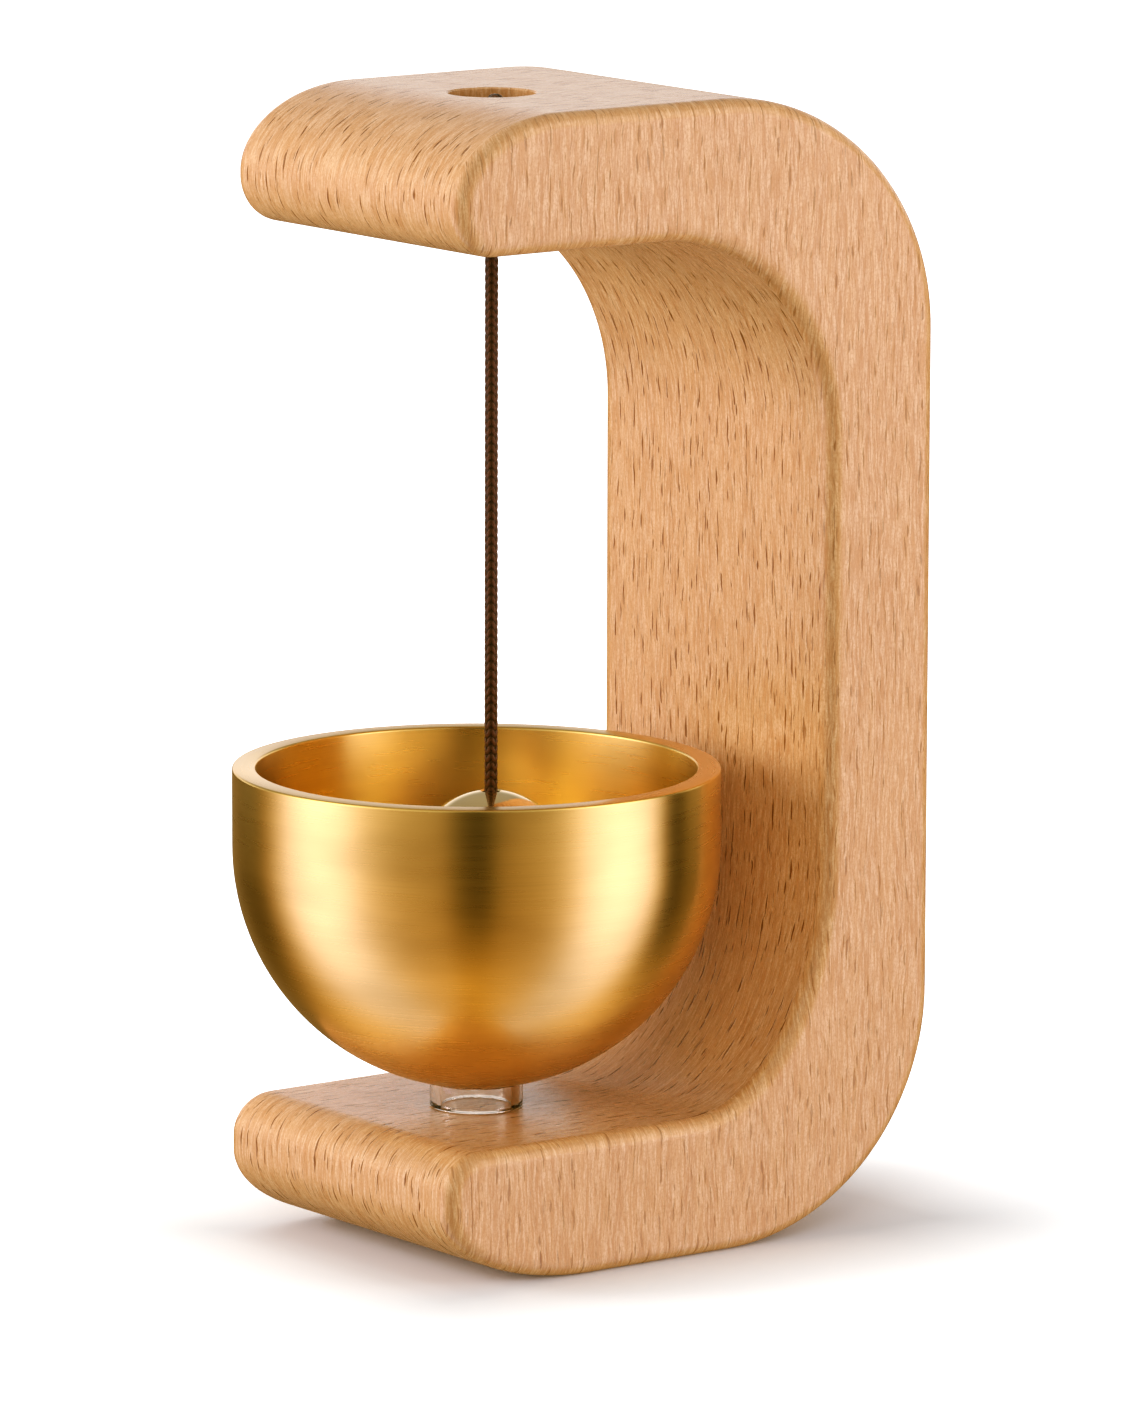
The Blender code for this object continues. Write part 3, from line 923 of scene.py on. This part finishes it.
def braided_tube(name, route, step, material):
    """Closed mesh of braided cord along a route of points."""
    line = resampled(route, step)
    spacing = sum((b - a).length for a, b in zip(line, line[1:])) / (len(line) - 1)
    tangents = [(b - a).normalized() for a, b in zip(line, line[1:])]
    tangents.append(tangents[-1])
    side = Vector((math.sin(BRAID_FACING), -math.cos(BRAID_FACING), 0.0))
    bm = bmesh.new()
    uv = bm.loops.layers.uv.new("braid")
    crest_layer = bm.verts.layers.float.new("crest")
    place = {}
    rings = []
    for i, (point, tangent) in enumerate(zip(line, tangents)):
        side = (side - tangent * side.dot(tangent)).normalized()
        up = tangent.cross(side)
        ring = []
        for k in range(BRAID_AROUND):
            turn = 2 * math.pi * k / BRAID_AROUND
            relief, crest, across, along = braid_relief(turn, i * spacing)
            spoke = side * math.cos(turn) + up * math.sin(turn)
            vertex = bm.verts.new(point + spoke * (relief * CORD_RADIUS))
            vertex[crest_layer] = crest
            place[vertex] = (across, along)
            ring.append(vertex)
        rings.append(ring)
    for here, there in zip(rings, rings[1:]):
        for k in range(BRAID_AROUND):
            j = (k + 1) % BRAID_AROUND
            bm.faces.new([here[k], here[j], there[j], there[k]])
    for ring, point, out in ((rings[0], line[0], -tangents[0]), (rings[-1], line[-1], tangents[-1])):
        tip = bm.verts.new(point + out * CORD_RADIUS * BRAID_TIP)
        place[tip] = (0.0, 0.0)
        for k in range(BRAID_AROUND):
            bm.faces.new([ring[k], ring[(k + 1) % BRAID_AROUND], tip])
    for face in bm.faces:
        for loop in face.loops:
            loop[uv].uv = place[loop.vert]
    bmesh.ops.recalc_face_normals(bm, faces=bm.faces)
    mesh = bpy.data.meshes.new(name)
    bm.to_mesh(mesh)
    bm.free()
    return add_piece(name, mesh, material)


# Painted light: near-black shade for the valleys between strands, a lighter coppery highlight for their
# crests
VALLEY_PAINTED_SHADE = (0.006, 0.0024, 0.0016, 1.0)
CREST_PAINTED_HIGHLIGHT = (0.108, 0.041, 0.029, 1.0)
THREAD_TONE = (0.180, 0.080, 0.055, 1.0)
COPPERY_GLOSS = (0.95, 0.56, 0.38, 1.0)
THREAD_RELIEF = 0.00003
THREAD_RELIEF_STRENGTH = 0.4
# Waves of the threads across a strand and along it
THREADS_ACROSS = 14.0
THREADS_ALONG = 1.2
CORD_ROUGHNESS = (0.20, 0.34)
CORD_SPECULAR = 0.70


def cord_material():
    """Dark waxed braid with painted light: crests painted with a coppery highlight, valleys painted with
    near-black shade.
    """
    made, graph, shader = new_material("cord")
    crest = graph.node("ShaderNodeAttribute", attribute_name="crest").outputs["Fac"]
    across, along, _ = graph.uv("braid")
    place = graph.vector(graph.scaled(across, THREADS_ACROSS), graph.scaled(along, THREADS_ALONG))
    thread = graph.noise(place, 3.0, 0.6)
    # Painted light: the braid's crest height sets the colour, with dark shade in the valleys and a
    # highlight on the crests
    tone = graph.mix(graph.spread(crest, 0.55, 1.0), VALLEY_PAINTED_SHADE, CREST_PAINTED_HIGHLIGHT)
    tone = graph.mix(graph.spread(thread, 0.50, 0.75, 0.0, 0.5), tone, THREAD_TONE)
    graph.put(shader.inputs["Base Color"], tone)
    graph.put(shader.inputs["Roughness"], graph.spread(thread, 0.3, 0.7, *CORD_ROUGHNESS, False))
    graph.put(shader.inputs["Normal"], graph.bump(thread, THREAD_RELIEF, THREAD_RELIEF_STRENGTH))
    shader.inputs["Specular IOR Level"].default_value = CORD_SPECULAR
    shader.inputs["Specular Tint"].default_value = COPPERY_GLOSS
    return made


def knot_route(stem_z, top_z, way_up, turns):
    """The cord runs up its own axis, arches over and wraps round itself; way_up is 1 or -1."""
    crown_z = top_z - way_up * (CORD_RADIUS + KNOT_ARCH)
    points = [Vector((0.0, 0.0, stem_z)), Vector((0.0, 0.0, crown_z))]
    for i in range(1, ARCH_STEPS + 1):
        angle = math.pi * i / ARCH_STEPS
        x = KNOT_WRAP / 2 * (1 - math.cos(angle))
        points.append(Vector((x, 0.0, crown_z + way_up * KNOT_ARCH * math.sin(angle))))
    steps = round(STEPS_PER_TURN * turns)
    for i in range(1, steps + 1):
        turn = 2 * math.pi * turns * i / steps
        drop = way_up * KNOT_PITCH * turns * i / steps
        points.append(Vector((KNOT_WRAP * math.cos(turn), KNOT_WRAP * math.sin(turn), crown_z - drop)))
    return [CORD_AXIS + point for point in points]


def make_cord():
    """One straight braid from knot to knot, down the cord's axis through its hole in the upper arm."""
    braid = cord_material()
    upper_route = knot_route(UPPER_KNOT_LOW.z, KNOT_TOP, 1, UPPER_KNOT_TURNS)
    upper = braided_tube("upper_stop_knot", upper_route, BRAID_STEP, braid)
    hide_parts("upper_knot")
    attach(upper, "cord_head")
    lower_route = knot_route(LOWER_KNOT_HIGH.z, LOWER_KNOT_LOW.z, -1, LOWER_KNOT_TURNS)
    lower = braided_tube("lower_stop_knot", lower_route, BRAID_STEP, braid)
    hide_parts("lower_knot")
    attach(lower, "clapper")

    top = CORD_AXIS + Vector((0.0, 0.0, UPPER_KNOT_LOW.z))
    bottom = CORD_AXIS + Vector((0.0, 0.0, LOWER_KNOT_HIGH.z))
    cord = braided_tube("braided_cord", [top, bottom], BRAID_STEP, braid)
    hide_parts("clapper_cord", "cord_neck")
    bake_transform(cord)


# ================================================================ everything
# Points added to the curve of all channels and to the blue one
CONTRAST = [(0.10, 0.066), (0.40, 0.37), (0.75, 0.75)]
WARM_SHADOWS = [(0.03, 0.013), (0.12, 0.096), (0.40, 0.40)]


def develop(view):
    """Plain colour, with the mild contrast curve of a product photograph."""
    view.view_transform = "Standard"
    view.look = "None"
    view.use_curve_mapping = True
    _, _, blue, combined = view.curve_mapping.curves
    for curve, points in ((combined, CONTRAST), (blue, WARM_SHADOWS)):
        for x, y in points:
            curve.points.new(x, y)
    view.curve_mapping.update()


def main():
    scene = bpy.context.scene
    develop(scene.view_settings)
    make_camera()
    make_cord()
    make_world()
    make_lights()
    make_floor()
    make_wood()
    make_bowl()
    make_ring()
    make_ball()


main()
